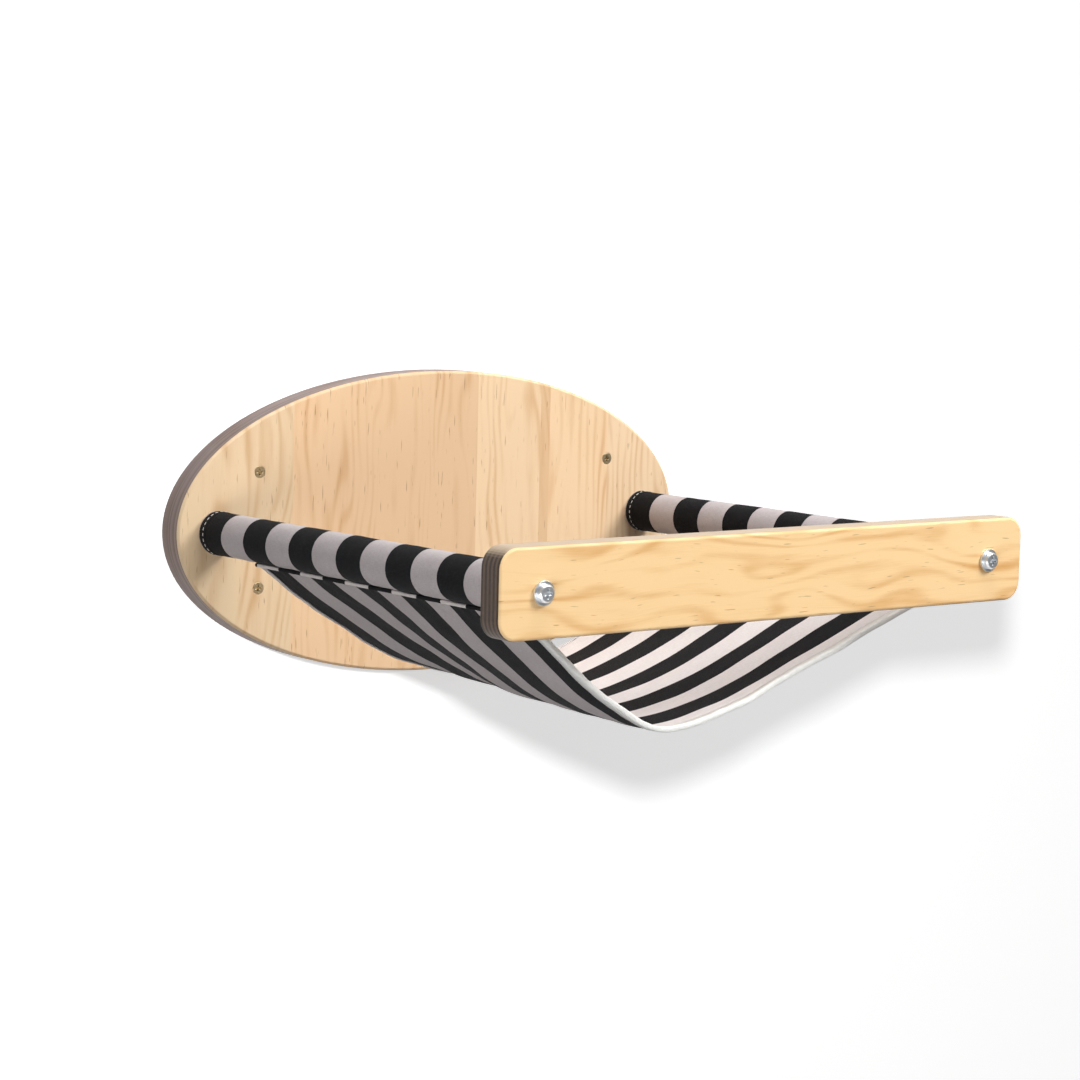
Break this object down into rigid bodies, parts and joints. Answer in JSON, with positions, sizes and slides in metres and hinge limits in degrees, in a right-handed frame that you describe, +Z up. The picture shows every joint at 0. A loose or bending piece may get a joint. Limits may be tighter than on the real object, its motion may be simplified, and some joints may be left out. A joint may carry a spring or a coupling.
{
  "type": "wall-mounted cat hammock",
  "caption": "Wall-mounted cat hammock with an oval pine backboard, round dowels, a plywood crossbar and a striped canvas sling.",
  "frame": {"origin": "centre of the oval backboard's flat back face, on the wall", "axes": "+X to the right as seen from the room, -Y out of the wall towards the room, +Y into the wall, +Z up"},
  "size_m": [0.41, 0.3896, 0.201],
  "materials": {
    "pine_board": "matt light pine of edge-joined strips with upright grain",
    "dowel_wood": "smooth bare dowel",
    "plywood": "pine-faced plywood, matt, dark plies at the edges",
    "zinc_steel": "bright zinc plate",
    "yellow_screw": "yellow zinc plate",
    "striped_canvas": "woven canvas in black and off-white stripes one inch wide",
    "white_tape": "off-white woven cotton tape"
  },
  "bodies": {
    "root": {"backboard": "pine_board", "dowel_left": "dowel_wood", "dowel_right": "dowel_wood", "crossbar": "plywood", "rear_bolt_left": "zinc_steel", "rear_bolt_right": "zinc_steel", "crossbar_bolt_left": "zinc_steel", "crossbar_bolt_right": "zinc_steel", "crossbar_washer_left": "zinc_steel", "crossbar_washer_right": "zinc_steel", "wall_screw_upper_left": "yellow_screw", "wall_screw_upper_right": "yellow_screw", "wall_screw_lower_left": "yellow_screw", "wall_screw_lower_right": "yellow_screw", "sleeve_left": "striped_canvas", "sleeve_right": "striped_canvas", "sling": "striped_canvas", "front_binding": "white_tape", "rear_binding": "white_tape", "seam_strip_left": "striped_canvas", "seam_strip_right": "striped_canvas"}
  },
  "joints": []
}
